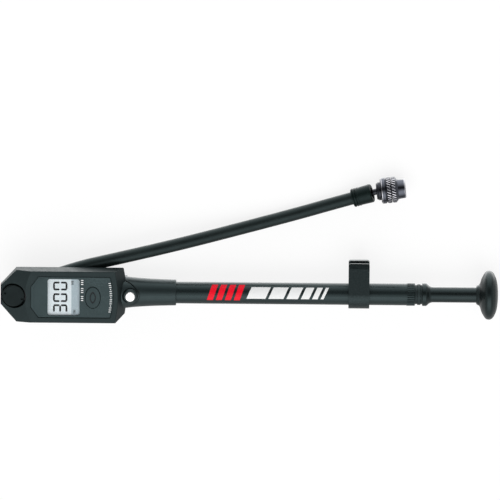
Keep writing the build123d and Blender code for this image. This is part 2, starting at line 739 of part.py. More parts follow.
with BuildPart() as hose_clip:
    with BuildSketch(Plane(origin=at(CLIP_START), x_dir=(0, 1, 0), z_dir=(1, 0, 0))) as clip_section:
        Circle(CLIP_RING_RADIUS)
        with Locations((CLIP_POCKET_SIDE, 0)):
            Circle(CLIP_ARM_RADIUS)
        make_hull()
        with BuildLine():
            Polyline(
                (CLIP_POCKET_SIDE, -CLIP_ARM_RADIUS),
                (CLIP_REACH, -CLIP_ARM_RADIUS),
                (CLIP_REACH, 5.0),
                (20.6, 6.5),
                (18.45, 6.95),
                (CLIP_POCKET_SIDE, 6.5),
                close=True,
            )
        make_face()
        Circle(BARREL_RADIUS, mode=Mode.SUBTRACT)
        with Locations((CLIP_POCKET_SIDE, 0)):
            Circle(CLIP_POCKET_RADIUS, mode=Mode.SUBTRACT)
            Rectangle(10, CLIP_MOUTH, align=(Align.MIN, Align.CENTER), mode=Mode.SUBTRACT)
        fillet(clip_section.vertices().filter_by(lambda tip: tip.Y > AXIS_Y + CLIP_REACH - 0.1), 0.5)
    extrude(amount=CLIP_END - CLIP_START)
    with BuildSketch(level(AXIS_Z - 12)):
        with Locations(((CLIP_START + CLIP_END) / 2, (CLIP_REACH - CLIP_RING_RADIUS) / 2)):
            RectangleRounded(CLIP_END - CLIP_START, CLIP_REACH + CLIP_RING_RADIUS, CLIP_CORNER)
    extrude(amount=24, mode=Mode.INTERSECT)

# ---------------------------------------------------------------- piston and handle
PISTON_START, PISTON_END = 106.6, 115.4
ROD_TIP_RADIUS = 2.5

with BuildPart() as piston_rod:
    revolve(
        outline(
            AXIAL_PLANE,
            [
                (PISTON_START + 2.6, 0),
                (PISTON_START + 2.6, ROD_TIP_RADIUS - CLEARANCE),
                (PISTON_END + 0.1, ROD_TIP_RADIUS - CLEARANCE),
                (PISTON_END + 0.1, ROD_RADIUS),
                (GRIP_END + 4, ROD_RADIUS),
                (GRIP_END + 4, 2.1),
                (GRIP_END - 14, 2.1),
                (GRIP_END - 14, 0),
            ],
        ),
        axis=BARREL_AXIS,
    )

with BuildPart() as piston:
    revolve(
        outline(
            AXIAL_PLANE,
            [
                (PISTON_START, 0),
                (PISTON_START, BARREL_BORE_RADIUS - CLEARANCE),
                (PISTON_START + 3.2, BARREL_BORE_RADIUS - CLEARANCE),
                (PISTON_START + 3.2, 5.0),
                (PISTON_START + 5.6, 5.0),
                (PISTON_START + 5.6, BARREL_BORE_RADIUS - CLEARANCE),
                (PISTON_END, BARREL_BORE_RADIUS - CLEARANCE),
                (PISTON_END, ROD_TIP_RADIUS),
                (PISTON_START + 2.5, ROD_TIP_RADIUS),
                (PISTON_START + 2.5, 0),
            ],
        ),
        axis=BARREL_AXIS,
    )

with BuildPart() as piston_seal:
    with BuildSketch(AXIAL_PLANE):
        with Locations((PISTON_START + 4.4, 5.84)):
            Circle(0.83)
    revolve(axis=BARREL_AXIS)

GRIP_RADIUS = 5.6
COLLAR_RADIUS = 8.35

with BuildPart() as handle_grip:
    with BuildSketch(AXIAL_PLANE):
        with BuildLine():
            Polyline(
                (GRIP_END, GRIP_RADIUS),
                (GRIP_END, ROD_RADIUS),
                (COLLAR_START, ROD_RADIUS),
                (COLLAR_START, COLLAR_RADIUS - 0.4),
                (COLLAR_START + 0.4, COLLAR_RADIUS),
                (COLLAR_START + 2.8, COLLAR_RADIUS),
            )
            collar_flare = Bezier(
                (COLLAR_START + 2.8, COLLAR_RADIUS),
                (COLLAR_START + 4.2, COLLAR_RADIUS - 0.4),
                (COLLAR_START + 4.6, GRIP_RADIUS + 0.2),
                (COLLAR_START + 8.0, GRIP_RADIUS),
            )
            Line(collar_flare @ 1, (GRIP_END, GRIP_RADIUS))
        make_face()
    revolve(axis=BARREL_AXIS)

KNOB_WIDEST = 358.9
PALM_STATION, PALM_RADIUS = 362.3, 15.0  # seam between the knob and its palm pad
PALM_DEPTH = 1.6

with BuildPart() as knob:
    with BuildSketch(AXIAL_PLANE):
        with BuildLine():
            Polyline(
                (GRIP_END, 6.5),
                (GRIP_END, ROD_RADIUS),
                (GRIP_END + 4, ROD_RADIUS),
                (GRIP_END + 4, 2.15),
                (PALM_STATION - PALM_DEPTH - 3.4, 2.15),
                (PALM_STATION - PALM_DEPTH - 3.4, 4.5),
                (PALM_STATION - PALM_DEPTH, 4.5),
                (PALM_STATION - PALM_DEPTH, PALM_RADIUS),
                (PALM_STATION + 0.4, PALM_RADIUS),
                (PALM_STATION + 0.4, PALM_RADIUS + 0.4),
            )
            Spline(
                (PALM_STATION + 0.4, PALM_RADIUS + 0.4),
                (KNOB_WIDEST, KNOB_RADIUS),
                tangents=[(-0.8, 1), (-1, 0)],
            )
            shoulder = Spline(
                (KNOB_WIDEST, KNOB_RADIUS),
                (355.0, 15.3),
                (352.9, 11.0),
                (350.6, 7.3),
                tangents=[(-1, 0), (-1, -0.25)],
            )
            Line(shoulder @ 1, (GRIP_END, 6.5))
        make_face()
    revolve(axis=BARREL_AXIS)

with BuildPart() as palm_pad:
    with BuildSketch(AXIAL_PLANE):
        with BuildLine():
            Polyline(
                (LENGTH, 0),
                (PALM_STATION - PALM_DEPTH, 0),
                (PALM_STATION - PALM_DEPTH, PALM_RADIUS - GAP),
                (PALM_STATION + 0.5, PALM_RADIUS - GAP),
            )
            Bezier((PALM_STATION + 0.5, PALM_RADIUS - GAP), (LENGTH, PALM_RADIUS - 4), (LENGTH, 0))
        make_face()
    revolve(axis=BARREL_AXIS)

with BuildPart() as knob_screw:
    revolve(
        outline(
            AXIAL_PLANE,
            [
                (GRIP_END - 13, 0),
                (GRIP_END - 13, 2.05),
                (PALM_STATION - PALM_DEPTH - 3.4, 2.05),
                (PALM_STATION - PALM_DEPTH - 3.4, 4.2),
                (PALM_STATION - PALM_DEPTH - 0.4, 4.2),
                (PALM_STATION - PALM_DEPTH - 0.4, 1.8),
                (PALM_STATION - PALM_DEPTH - 2.2, 1.8),
                (PALM_STATION - PALM_DEPTH - 2.2, 0),
            ],
        ),
        axis=BARREL_AXIS,
    )

# ---------------------------------------------------------------- hose swivel, under the nose of the head
HOSE_Z = 17.5
BARB_ANGLE = 22.5  # degrees from +X towards +Y
SWIVEL_RADIUS = 7.4
CRIMP_RADIUS = 5.2
CRIMP_START, CRIMP_END = 6.4, 24.0  # from the swivel's axis
BARB_RADIUS = 2.3

swivel_centre = Vector(*at(SWIVEL_STATION, 0, HOSE_Z))
barb_direction = Vector(cos(radians(BARB_ANGLE)), sin(radians(BARB_ANGLE)), 0)
barb_plane = Plane(origin=swivel_centre, z_dir=barb_direction, x_dir=(0, 0, 1))

with BuildPart() as hose_swivel:
    with BuildSketch(level(12.6)):
        with Locations((SWIVEL_STATION, 0)):
            Circle(SWIVEL_RADIUS)
    extrude(amount=10)
    fillet(hose_swivel.edges().filter_by(GeomType.CIRCLE), 0.8)
    with BuildSketch(level(22.6)):
        with Locations((SWIVEL_STATION, 0)):
            Circle(SPINDLE_RADIUS)
    extrude(amount=7.4)
    for groove_z, groove_height in ((25.3, 1.1), (27.2, 1.1), (29.0, 0.6)):
        with BuildSketch(level(groove_z)):
            with Locations((SWIVEL_STATION, 0)):
                Circle(SPINDLE_RADIUS + 1)
                Circle(3.1, mode=Mode.SUBTRACT)
        extrude(amount=groove_height, mode=Mode.SUBTRACT)
    with BuildSketch(barb_plane):
        Circle(BARB_RADIUS)
    extrude(amount=CRIMP_END - 1)
    with BuildSketch(barb_plane.offset(CRIMP_START - 0.6)):
        Circle(CRIMP_RADIUS)
    extrude(amount=-2, mode=Mode.ADD)
    with BuildSketch(barb_plane):
        Circle(1.1)
    extrude(amount=CRIMP_END, mode=Mode.SUBTRACT)

with BuildPart() as swivel_seals:
    for seal_z in (25.85, 27.75):
        with BuildSketch(Plane(origin=at(SWIVEL_STATION, 0, seal_z), x_dir=(1, 0, 0), z_dir=(0, -1, 0))):
            with Locations((3.54, 0)):
                Circle(0.43)
        revolve(axis=Axis(at(SWIVEL_STATION), (0, 0, 1)))

with BuildPart() as swivel_clip:
    with BuildSketch(level(29.05)):
        with Locations((SWIVEL_STATION, 0)):
            Circle(5.6)
            Circle(3.15, mode=Mode.SUBTRACT)
        with Locations((SWIVEL_STATION - 4.6, 0)):
            Rectangle(3, 1.6, mode=Mode.SUBTRACT)
    extrude(amount=0.5)

with BuildPart() as hose_crimp:
    with BuildSketch(barb_plane.offset(SWIVEL_RADIUS - 0.6)):
        Circle(CRIMP_RADIUS)
        Circle(BARB_RADIUS, mode=Mode.SUBTRACT)
    extrude(amount=CRIMP_END - SWIVEL_RADIUS + 0.6)
    with Locations(swivel_centre):
        Cylinder(SWIVEL_RADIUS + GAP, 12, mode=Mode.SUBTRACT)
    fillet(hose_crimp.edges().filter_by(GeomType.CIRCLE).sort_by(Axis.X)[-1:], 0.4)

# ---------------------------------------------------------------- hose: a free hose of one length
HOSE_ROUTE = [
    (31.88, 9.187, 17.5),
    (51.6, 17.356, 17.5),
    (91.0, 26.4, 16.6),
    (133.0, 35.75, 12.4),
    (177.0, 46.55, 7.3),
    (219.0, 57.7, 4.7),
    (243.6, 65.25, 4.9),
    (258.3, 70.05, 6.95),
]  # station, side, height
hose_points = [Vector(*at(*point)) for point in HOSE_ROUTE]


def bend_radii(points, share):
    """Radii of the arcs at a route's inner points, each as large as its two runs allow."""
    radii = []
    for before, here, after in zip(points, points[1:], points[2:]):
        turn = (here - before).get_angle(after - here)
        shorter = min((here - before).length, (after - here).length)
        radii.append(share * shorter / tan(radians(turn / 2)))
    return radii


hose_radii = bend_radii(hose_points, 0.45)
print("hose bend radii", [round(radius) for radius in hose_radii])

with BuildPart() as hose:
    with BuildLine() as hose_path:
        FilletPolyline(*hose_points, radius=hose_radii)
    with BuildSketch(Plane(origin=hose_path.line @ 0, z_dir=hose_path.line % 0)):
        Circle(HOSE_RADIUS)
    sweep()
hose_length = hose_path.wire().length
print("hose length", round(hose_length, 1))

# ---------------------------------------------------------------- ferrule at the hose's far end
ferrule_start = hose_path.line @ 1
ferrule_direction = (hose_path.line % 1).normalized()
FERRULE_LENGTH = 14.8
FERRULE_RADIUS = 6.9
FERRULE_RIDGE = 6.85
FERRULE_WAIST = 6.2  # between its ridges

ferrule_plane = Plane(
    origin=ferrule_start, x_dir=ferrule_direction, z_dir=ferrule_direction.cross(Vector(0, 0, 1))
)
ferrule_axis = Axis(ferrule_start, ferrule_direction)

# ---------------------------------------------------------------- valve chuck, resting on the floor
CHUCK_RADIUS = 9.5
CHUCK_ANGLE = 6.7  # degrees from +X towards +Y
STEM_RADIUS = 2.3
STEM_REACH = 3.2  # ferrule face to chuck flange
STEM_SHIFT = 0.9  # how far the stem's bend carries the chuck to +Y
STEM_SOCKET = 5.0  # how deep the stem sits in the ferrule, and twice as deep as in the chuck
chuck_direction = Vector(cos(radians(CHUCK_ANGLE)), sin(radians(CHUCK_ANGLE)), 0)
stem_knee = ferrule_start + ferrule_direction * FERRULE_LENGTH
chuck_origin = stem_knee + chuck_direction * STEM_REACH
chuck_origin = Vector(chuck_origin.X, chuck_origin.Y + STEM_SHIFT, CHUCK_RADIUS + GAP)
chuck_plane = Plane(origin=chuck_origin, x_dir=chuck_direction, z_dir=chuck_direction.cross(Vector(0, 0, 1)))
chuck_axis = Axis(chuck_origin, chuck_direction)

with BuildPart() as hose_ferrule:
    with BuildSketch(ferrule_plane):
        with BuildLine():
            Polyline(
                (FERRULE_LENGTH - STEM_SOCKET, 0),
                (0, 0),
                (0, FERRULE_RIDGE - 0.3),
                (0.3, FERRULE_RIDGE),
                (1.1, FERRULE_RIDGE),
                (1.4, FERRULE_WAIST),
                (1.9, FERRULE_WAIST),
                (2.2, FERRULE_RIDGE),
                (3.0, FERRULE_RIDGE),
                (3.3, FERRULE_WAIST),
                (3.8, FERRULE_WAIST),
                (4.1, FERRULE_RIDGE),
                (4.9, FERRULE_RIDGE),
                (5.2, FERRULE_RADIUS - 0.3),
                (FERRULE_LENGTH - 0.6, FERRULE_RADIUS),
                (FERRULE_LENGTH, FERRULE_RADIUS - 0.6),
                (FERRULE_LENGTH, 4.2),
                (FERRULE_LENGTH - STEM_SOCKET, 4.2),
                close=True,
            )
        make_face()
    revolve(axis=ferrule_axis)

with BuildPart() as chuck_stem:
    with BuildLine() as stem_path:
        FilletPolyline(
            ferrule_start + ferrule_direction * (FERRULE_LENGTH - STEM_SOCKET),
            stem_knee,
            chuck_origin,
            chuck_origin + chuck_direction * STEM_SOCKET / 2,
            radius=8,
        )
    with BuildSketch(Plane(origin=stem_path.line @ 0, z_dir=stem_path.line % 0)):
        Circle(STEM_RADIUS)
    sweep()

# stations inside the chuck, from the flange's outer face
FLANGE_THICK = 1.1
RING_START, RING_GROOVE, RING_END = 3.2, 7.4, 10.9
COUPLER_START, CHUCK_LENGTH = 11.2, 21.4
VALVE_THREAD_RADIUS = 3.9
VALVE_SEAT = 13.2
CORE_TUBE_RADIUS = 4.6
PIN_RADIUS = 0.9

with BuildPart() as chuck_core:
    revolve(
        outline(
            chuck_plane,
            [
                (STEM_SOCKET / 2 + GAP, 0),
                (STEM_SOCKET / 2 + GAP, STEM_RADIUS + GAP),
                (0, STEM_RADIUS + GAP),
                (0, 5.6),
                (0.5, 6.2),
                (FLANGE_THICK, 6.2),
                (FLANGE_THICK + 0.5, 6.7),
                (RING_START - GAP, 6.7),
                (RING_START - GAP, CORE_TUBE_RADIUS),
                (COUPLER_START + 0.9, CORE_TUBE_RADIUS),
                (COUPLER_START + 0.9, PIN_RADIUS + CLEARANCE),
                (4.0, PIN_RADIUS + CLEARANCE),
                (4.0, 0),
            ],
        ),
        axis=chuck_axis,
    )

with BuildPart() as lock_ring:
    revolve(
        outline(
            chuck_plane,
            [
                (RING_START, CORE_TUBE_RADIUS + CLEARANCE),
                (RING_START, CHUCK_RADIUS - 1.2),
                (RING_START + 1.0, CHUCK_RADIUS),
                (RING_GROOVE - 0.7, CHUCK_RADIUS),
                (RING_GROOVE, CHUCK_RADIUS - 0.7),
                (RING_GROOVE + 0.5, CHUCK_RADIUS),
                (RING_END - 0.5, CHUCK_RADIUS),
                (RING_END, CHUCK_RADIUS - 0.5),
                (RING_END, CORE_TUBE_RADIUS + CLEARANCE),
            ],
        ),
        axis=chuck_axis,
    )

with BuildPart() as coupler:
    revolve(
        outline(
            chuck_plane,
            [
                (COUPLER_START, CORE_TUBE_RADIUS + CLEARANCE),
                (COUPLER_START, CHUCK_RADIUS - 0.5),
                (COUPLER_START + 0.5, CHUCK_RADIUS),
                (COUPLER_START + 2.9, CHUCK_RADIUS),
                (COUPLER_START + 4.7, 7.3),
                (CHUCK_LENGTH - 0.6, 6.9),
                (CHUCK_LENGTH, 6.3),
                (CHUCK_LENGTH, VALVE_THREAD_RADIUS),
                (VALVE_SEAT, VALVE_THREAD_RADIUS),
                (VALVE_SEAT, CORE_TUBE_RADIUS + CLEARANCE),
            ],
        ),
        axis=chuck_axis,
    )

with BuildPart() as chuck_seal:
    revolve(
        outline(
            chuck_plane,
            [
                (COUPLER_START + 1.0, PIN_RADIUS + 0.5),
                (COUPLER_START + 1.0, CORE_TUBE_RADIUS - GAP),
                (VALVE_SEAT - 0.02, CORE_TUBE_RADIUS - GAP),
                (VALVE_SEAT - 0.02, PIN_RADIUS + 0.5),
            ],
        ),
        axis=chuck_axis,
    )

with BuildPart() as depressor_pin:
    revolve(
        outline(
            chuck_plane,
            [(5.0, 0), (5.0, PIN_RADIUS), (VALVE_SEAT - 0.1, PIN_RADIUS), (VALVE_SEAT - 0.1, 0)],
        ),
        axis=chuck_axis,
    )

# ---------------------------------------------------------------- export
SUBPARTS = {
    "front_cover": front_cover,
    "face_panel": face_panel,
    "display_window": display_window,
    "lcd_module": lcd_module,
    "contact_strips": contact_strips,
    "circuit_board": circuit_board,
    "button_switch": button_switch,
    "power_button": power_button,
    "pressure_sensor": pressure_sensor,
    "rear_cover": rear_cover,
    "cover_screws": cover_screws,
    "body_screws": body_screws,
    "main_body": main_body,
    "battery_door": battery_door,
    "coin_cell": coin_cell,
    "battery_contact": battery_contact,
    "manifold": manifold,
    "swivel_cap": swivel_cap,
    "check_seat": check_seat,
    "check_ball": check_ball,
    "check_spring": check_spring,
    "barrel_seal": barrel_seal,
    "bleed_collar": bleed_collar,
    "bleed_button": bleed_button,
    "bleed_spring": bleed_spring,
    "bleed_seal": bleed_seal,
    "barrel": barrel,
    "end_cap": end_cap,
    "rod_bush": rod_bush,
    "bumper": bumper,
    "hose_clip": hose_clip,
    "piston_rod": piston_rod,
    "piston": piston,
    "piston_seal": piston_seal,
    "handle_grip": handle_grip,
    "knob": knob,
    "palm_pad": palm_pad,
    "knob_screw": knob_screw,
    "hose_swivel": hose_swivel,
    "swivel_seals": swivel_seals,
    "swivel_clip": swivel_clip,
    "hose_crimp": hose_crimp,
    "hose": hose,
    "hose_ferrule": hose_ferrule,
    "chuck_stem": chuck_stem,
    "chuck_core": chuck_core,
    "lock_ring": lock_ring,
    "coupler": coupler,
    "chuck_seal": chuck_seal,
    "depressor_pin": depressor_pin,
}

os.makedirs("parts", exist_ok=True)
for name, piece in SUBPARTS.items():
    piece.part.label = name
    export_step(piece.part, f"parts/{name}.step")
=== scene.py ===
"""Looks of a shock suspension pump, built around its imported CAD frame. Lengths named *_MM are millimetres."""

import json
import math

import bmesh
import bpy
from mathutils import Matrix, Vector


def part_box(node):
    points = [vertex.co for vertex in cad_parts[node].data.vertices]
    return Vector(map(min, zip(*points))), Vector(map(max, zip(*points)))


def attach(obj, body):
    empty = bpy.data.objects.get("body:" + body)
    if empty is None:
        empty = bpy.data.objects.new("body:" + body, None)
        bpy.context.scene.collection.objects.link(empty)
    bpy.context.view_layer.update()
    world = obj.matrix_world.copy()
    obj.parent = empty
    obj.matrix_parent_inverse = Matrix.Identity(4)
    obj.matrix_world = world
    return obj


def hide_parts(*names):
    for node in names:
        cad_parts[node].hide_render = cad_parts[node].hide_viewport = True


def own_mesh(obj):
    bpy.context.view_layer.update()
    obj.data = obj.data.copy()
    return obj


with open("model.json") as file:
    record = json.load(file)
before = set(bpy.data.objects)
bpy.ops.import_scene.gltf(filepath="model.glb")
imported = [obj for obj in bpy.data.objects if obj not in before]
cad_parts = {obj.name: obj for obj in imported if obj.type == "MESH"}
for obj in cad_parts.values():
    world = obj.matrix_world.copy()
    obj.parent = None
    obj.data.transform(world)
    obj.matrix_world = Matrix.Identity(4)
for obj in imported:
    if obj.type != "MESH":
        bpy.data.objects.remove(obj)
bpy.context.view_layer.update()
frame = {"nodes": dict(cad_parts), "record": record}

MM = 0.001

# ------------------------------------------------------------------ places, from the frame
barrel_low, barrel_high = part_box("barrel")
HEAD_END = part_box("rear_cover")[0].x
AXIS_Y = (barrel_low.y + barrel_high.y) / 2
AXIS_Z = (barrel_low.z + barrel_high.z) / 2
BARREL_RADIUS = (barrel_high.z - barrel_low.z) / 2


def at(station, side=0.0, z=None):
    """A point given in mm: station from the head's end, side from the barrel's axis, and height."""
    return Vector((HEAD_END + station * MM, AXIS_Y + side * MM, AXIS_Z if z is None else z * MM))


# ------------------------------------------------------------------ camera
CAMERA_TILT = math.radians(15)  # from straight above towards +Y
CAMERA_ROLL = math.radians(0.5)
CAMERA_DISTANCE = 8.0  # metres, like the two below
VIEW_WIDTH = 0.3675  # of the plane through the barrel's axis
VIEW_RISE = 0.0317  # of the view's middle above the barrel, in the picture
VIEW_SHIFT = 0.0002
SENSOR_WIDTH_MM = 36


def make_camera():
    """A long lens above the pump, tilted to the hose's side, with +Y up in the picture."""
    up = Vector((0, math.cos(CAMERA_TILT), -math.sin(CAMERA_TILT)))
    back = Vector((0, math.sin(CAMERA_TILT), math.cos(CAMERA_TILT)))
    middle = Vector((VIEW_SHIFT, AXIS_Y, AXIS_Z)) + up * VIEW_RISE
    data = bpy.data.cameras.new("camera")
    data.sensor_width = SENSOR_WIDTH_MM
    data.lens = data.sensor_width * CAMERA_DISTANCE / VIEW_WIDTH
    data.clip_start, data.clip_end = 0.05, 40
    camera = bpy.data.objects.new("camera", data)
    right = Vector((1, 0, 0))
    turn = Matrix((right, up, back)).transposed().to_4x4() @ Matrix.Rotation(CAMERA_ROLL, 4, "Z")
    camera.matrix_world = Matrix.Translation(middle + back * CAMERA_DISTANCE) @ turn
    bpy.context.scene.collection.objects.link(camera)
    bpy.context.scene.camera = camera


# ------------------------------------------------------------------ shader graphs
class Graph:
    """A material with one Principled shader, and short calls for the nodes that feed it."""

    def __init__(self, name, color, roughness, metallic=0.0, **inputs):
        self.material = bpy.data.materials.new(name)
        self.material.use_nodes = True
        self.tree = self.material.node_tree
        self.shader = self.tree.nodes["Principled BSDF"]
        self.shader.inputs["Base Color"].default_value = (*color, 1)
        self.shader.inputs["Roughness"].default_value = roughness
        self.shader.inputs["Metallic"].default_value = metallic
        for key, value in inputs.items():
            self.shader.inputs[key.replace("_", " ")].default_value = value
        self.color = color
        self.roughness = roughness
        coordinates = self.tree.nodes.new("ShaderNodeTexCoord")
        self.place = coordinates.outputs["Object"]
        self.normal = None

    def node(self, kind, **inputs):
        made = self.tree.nodes.new("ShaderNode" + kind)
        for key, value in inputs.items():
            socket = made.inputs[key.replace("_", " ")]
            if isinstance(value, bpy.types.NodeSocket):
                self.tree.links.new(value, socket)
            else:
                socket.default_value = value
        return made

    def noise(self, scale, detail=2.0, roughness=0.5, place=None):
        made = self.node(
            "TexNoise", Vector=place or self.place, Scale=scale, Detail=detail, Roughness=roughness
        )
        return made.outputs["Fac"]

    def stretched(self, x, y, z):
        """Object coordinates scaled per axis, for grain that runs one way."""
        made = self.node("Mapping", Vector=self.place)
        made.inputs["Scale"].default_value = (x, y, z)
        return made.outputs["Vector"]

    def remap(self, value, low, high, to_low=0.0, to_high=1.0):
        made = self.node("MapRange", Value=value)
        made.inputs["From Min"].default_value = low
        made.inputs["From Max"].default_value = high
        made.inputs["To Min"].default_value = to_low
        made.inputs["To Max"].default_value = to_high
        return made.outputs["Result"]

    def maths(self, operation, first, second=0.0):
        made = self.node("Math")
        made.operation = operation
        for socket, value in zip(made.inputs, (first, second)):
            if isinstance(value, bpy.types.NodeSocket):
                self.tree.links.new(value, socket)
            else:
                socket.default_value = value
        return made.outputs["Value"]

    def bump(self, height, strength, distance):
        """Adds a bump of that height map, in metres, on top of the earlier ones."""
        made = self.node("Bump", Height=height, Strength=strength, Distance=distance)
        if self.normal is not None:
            self.tree.links.new(self.normal, made.inputs["Normal"])
        self.normal = made.outputs["Normal"]
        self.tree.links.new(self.normal, self.shader.inputs["Normal"])

    def vary_roughness(self, value, spread):
        """Roughness goes spread either side of its value as the map goes from 0.3 to 0.7."""
        out = self.remap(value, 0.3, 0.7, self.roughness - spread, self.roughness + spread)
        self.tree.links.new(out, self.shader.inputs["Roughness"])

    def tint(self, factor, color):
        """Mixes a colour in by a factor map, on top of what colours the shader now."""
        made = self.tree.nodes.new("ShaderNodeMix")
        made.data_type = "RGBA"
        factor_socket, first, second = made.inputs[0], made.inputs[6], made.inputs[7]
        self.tree.links.new(factor, factor_socket)
        socket = self.shader.inputs["Base Color"]
        if socket.links:
            self.tree.links.new(socket.links[0].from_socket, first)
        else:
            first.default_value = socket.default_value
        second.default_value = (*color, 1)
        self.tree.links.new(made.outputs[2], socket)

    def edges(self):
        """1 on sharp outer edges, 0 elsewhere, broken up by a fine noise."""
        geometry = self.node("NewGeometry")
        worn = self.remap(geometry.outputs["Pointiness"], 0.56, 0.66)
        patches = self.remap(self.noise(900, 3), 0.42, 0.62)
        return self.maths("MULTIPLY", worn, patches)


def plastic(
    name, color, roughness, grain_mm=0.35, grain_depth_mm=0.012, wear=0.35, gloss=0.5, **inputs
):
    """Moulded plastic: a spark-eroded grain, a cloudy sheen and pale rubbed edges."""
    g = Graph(name, color, roughness, Specular_IOR_Level=gloss, **inputs)
    g.tint(g.remap(g.noise(55, 3), 0.35, 0.75, 0.0, 0.5), [c * 1.35 for c in color])
    g.tint(g.maths("MULTIPLY", g.edges(), wear), [min(1, c * 3 + 0.02) for c in color])
    g.vary_roughness(g.noise(160, 4, 0.6), 0.05)
    g.bump(g.noise(1 / (grain_mm * MM), 2), 0.5, grain_depth_mm * MM)
    return g.material


def rubber(name, color, roughness, **inputs):
    """Rubber: soft sheen, fine pores and paler handling marks."""
    g = Graph(name, color, roughness, **inputs)
    g.tint(g.remap(g.noise(90, 4), 0.45, 0.75, 0.0, 0.4), [c * 1.7 for c in color])
    g.vary_roughness(g.noise(240, 3), 0.07)
    g.bump(g.noise(2600, 3), 0.35, 0.02 * MM)
    return g.material


def metal(name, color, roughness, spread=0.06, scratch_mm=0.0, **inputs):
    """Metal: fine turning marks round +X where asked for, and a mottled polish."""
    g = Graph(name, color, roughness, metallic=1.0, **inputs)
    g.vary_roughness(g.noise(420, 4, 0.6), spread)
    if scratch_mm:
        g.bump(g.noise(1, 2, place=g.stretched(1 / (scratch_mm * MM), 60, 60)), 0.25, 0.01 * MM)
    else:
        g.bump(g.noise(1500, 3), 0.15, 0.01 * MM)
    return g.material


def dark_chrome():
    """Smoked chrome with a slate cast, darker in its hollows as painted shade, with a mottled polish."""
    g = Graph("dark_chrome", (0.088, 0.095, 0.113), 0.2, metallic=1.0)
    geometry = g.node("NewGeometry")
    g.tint(g.remap(g.noise(350, 4, 0.6), 0.45, 0.75, 0.0, 0.35), (0.05, 0.05, 0.06))
    # painted shade: the colour darkens where the surface is concave, as if shaded
    concave_shade = g.remap(geometry.outputs["Pointiness"], 0.40, 0.49, 0.95, 0.0)
    g.tint(concave_shade, (0.012, 0.012, 0.014))
    g.vary_roughness(g.noise(420, 4, 0.6), 0.04)
    g.bump(g.noise(1400, 3), 0.12, 0.01 * MM)
    return g.material


def anodised(name, color, roughness, **inputs):
    """Black anodised tube: faint drawing lines along +X and hairline scuffs."""
    g = Graph(name, color, roughness, **inputs)
    lines = g.noise(1, 3, place=g.stretched(18, 1900, 1900))
    g.tint(g.remap(lines, 0.5, 0.8, 0.0, 0.2), [c * 1.5 for c in color])
    g.vary_roughness(g.noise(70, 4, 0.6), 0.04)
    g.bump(lines, 0.1, 0.002 * MM)
    return g.material


def hose_rubber():
    """Extruded rubber cover: lengthwise sheen, and the braid under it just telegraphing through."""
    g = Graph(
        "hose_rubber", (0.007, 0.010, 0.0095), 0.40, Specular_Tint=SHEEN, Specular_IOR_Level=0.32
    )
    g.tint(g.remap(g.noise(60, 4), 0.45, 0.75, 0.0, 0.4), (0.014, 0.02, 0.019))
    g.vary_roughness(g.noise(200, 3), 0.06)
    g.bump(g.noise(700, 2), 0.25, 0.05 * MM)
    g.bump(g.noise(3000, 2), 0.3, 0.012 * MM)
    return g.material


BLACK = (0.0085, 0.0125, 0.013)
SHEEN = (0.68, 0.92, 0.95, 1)  # the blue-green cast of every reflection in the black plastics


def make_materials():
    """Every material by the record's slot name, with a few more for single nodes."""
    cast = {"Specular_Tint": SHEEN}
    return {
        "housing": plastic("housing_plastic", BLACK, 0.44, gloss=0.32, **cast),
        "neck": plastic("neck_plastic", (0.0095, 0.014, 0.0145), 0.38, gloss=0.50, **cast),
        "clip": plastic("clip_plastic", (0.006, 0.0085, 0.009), 0.34, gloss=0.37, **cast),
        "panel": plastic(
            "panel_plastic", (0.0145, 0.023, 0.0245), 0.42, grain_mm=0.25, gloss=0.44, **cast
        ),
        "cap": plastic("cap_plastic", (0.004, 0.005, 0.005), 0.5, gloss=0.21, **cast),
        "rubber": rubber("black_rubber", (0.010, 0.013, 0.0135), 0.6, **cast),
        "anodised": anodised(
            "black_anodised", (0.009, 0.0135, 0.014), 0.28, Specular_IOR_Level=0.44, **cast
        ),
        "grip": plastic(
            "grip_plastic", (0.005, 0.007, 0.007), 0.28, grain_depth_mm=0.006, wear=0.2, gloss=0.40, **cast
        ),
        "hose": hose_rubber(),
        "ferrule": plastic(
            "ferrule_plastic", (0.004, 0.008, 0.007), 0.34, grain_depth_mm=0.006, gloss=0.20, **cast
        ),
        "chuck": dark_chrome(),
        # painted shade for the knurls' hollows, then a painted highlight for their crests and edge rings
        "chuck_shade": metal("painted_shade_in_knurl", (0.010, 0.010, 0.012), 0.4),
        "chuck_highlight": metal("painted_highlight_on_edges", (0.48, 0.48, 0.51), 0.16, spread=0.03),
        "stem": metal("dark_stem", (0.035, 0.037, 0.043), 0.25),
        "print_white": print_ink("white_ink", (0.95, 0.96, 0.96)),
        "print_red": print_ink("red_ink", (0.95, 0.003, 0.022)),
        # this dark ink also serves as painted shade in the power button's groove
        "dark_ink_and_shade": print_ink("display_segments_and_groove_shade", (0.006, 0.008, 0.010)),
        "bright": metal("bright_nickel", (0.95, 0.95, 0.94), 0.35),
        "rod": metal("chromed_rod", (0.72, 0.73, 0.74), 0.12, spread=0.03),
        "steel": metal("plated_steel", (0.60, 0.60, 0.61), 0.32),
        "brass": metal("turned_brass", (0.72, 0.54, 0.25), 0.28),
        "core": metal("black_anodised_core", (0.045, 0.047, 0.05), 0.42, scratch_mm=0.1),
        "acetal": plastic("white_acetal", (0.72, 0.71, 0.67), 0.45, wear=0.0),
        "board": plastic("board_mask", (0.012, 0.10, 0.045), 0.35, wear=0.0),
        "lcd": lcd_glass(),
        "window": window_plastic(),
    }


def print_ink(name, color):
    """Pad-printed ink: slightly uneven cover, a faint sheen and fine pinholes at the edge of sight."""
    g = Graph(name, color, 0.45, Specular_IOR_Level=0.2)
    g.tint(g.remap(g.noise(500, 3), 0.55, 0.8, 0.0, 0.25), [c * 0.8 for c in color])
    g.vary_roughness(g.noise(300, 3), 0.06)
    g.bump(g.noise(4000, 2), 0.2, 0.004 * MM)
    return g.material


LCD_PALE = (0.88, 0.97, 1.0)
LCD_STRIP = (0.38, 0.49, 0.54)
LCD_STRIP_STATION = 52.2


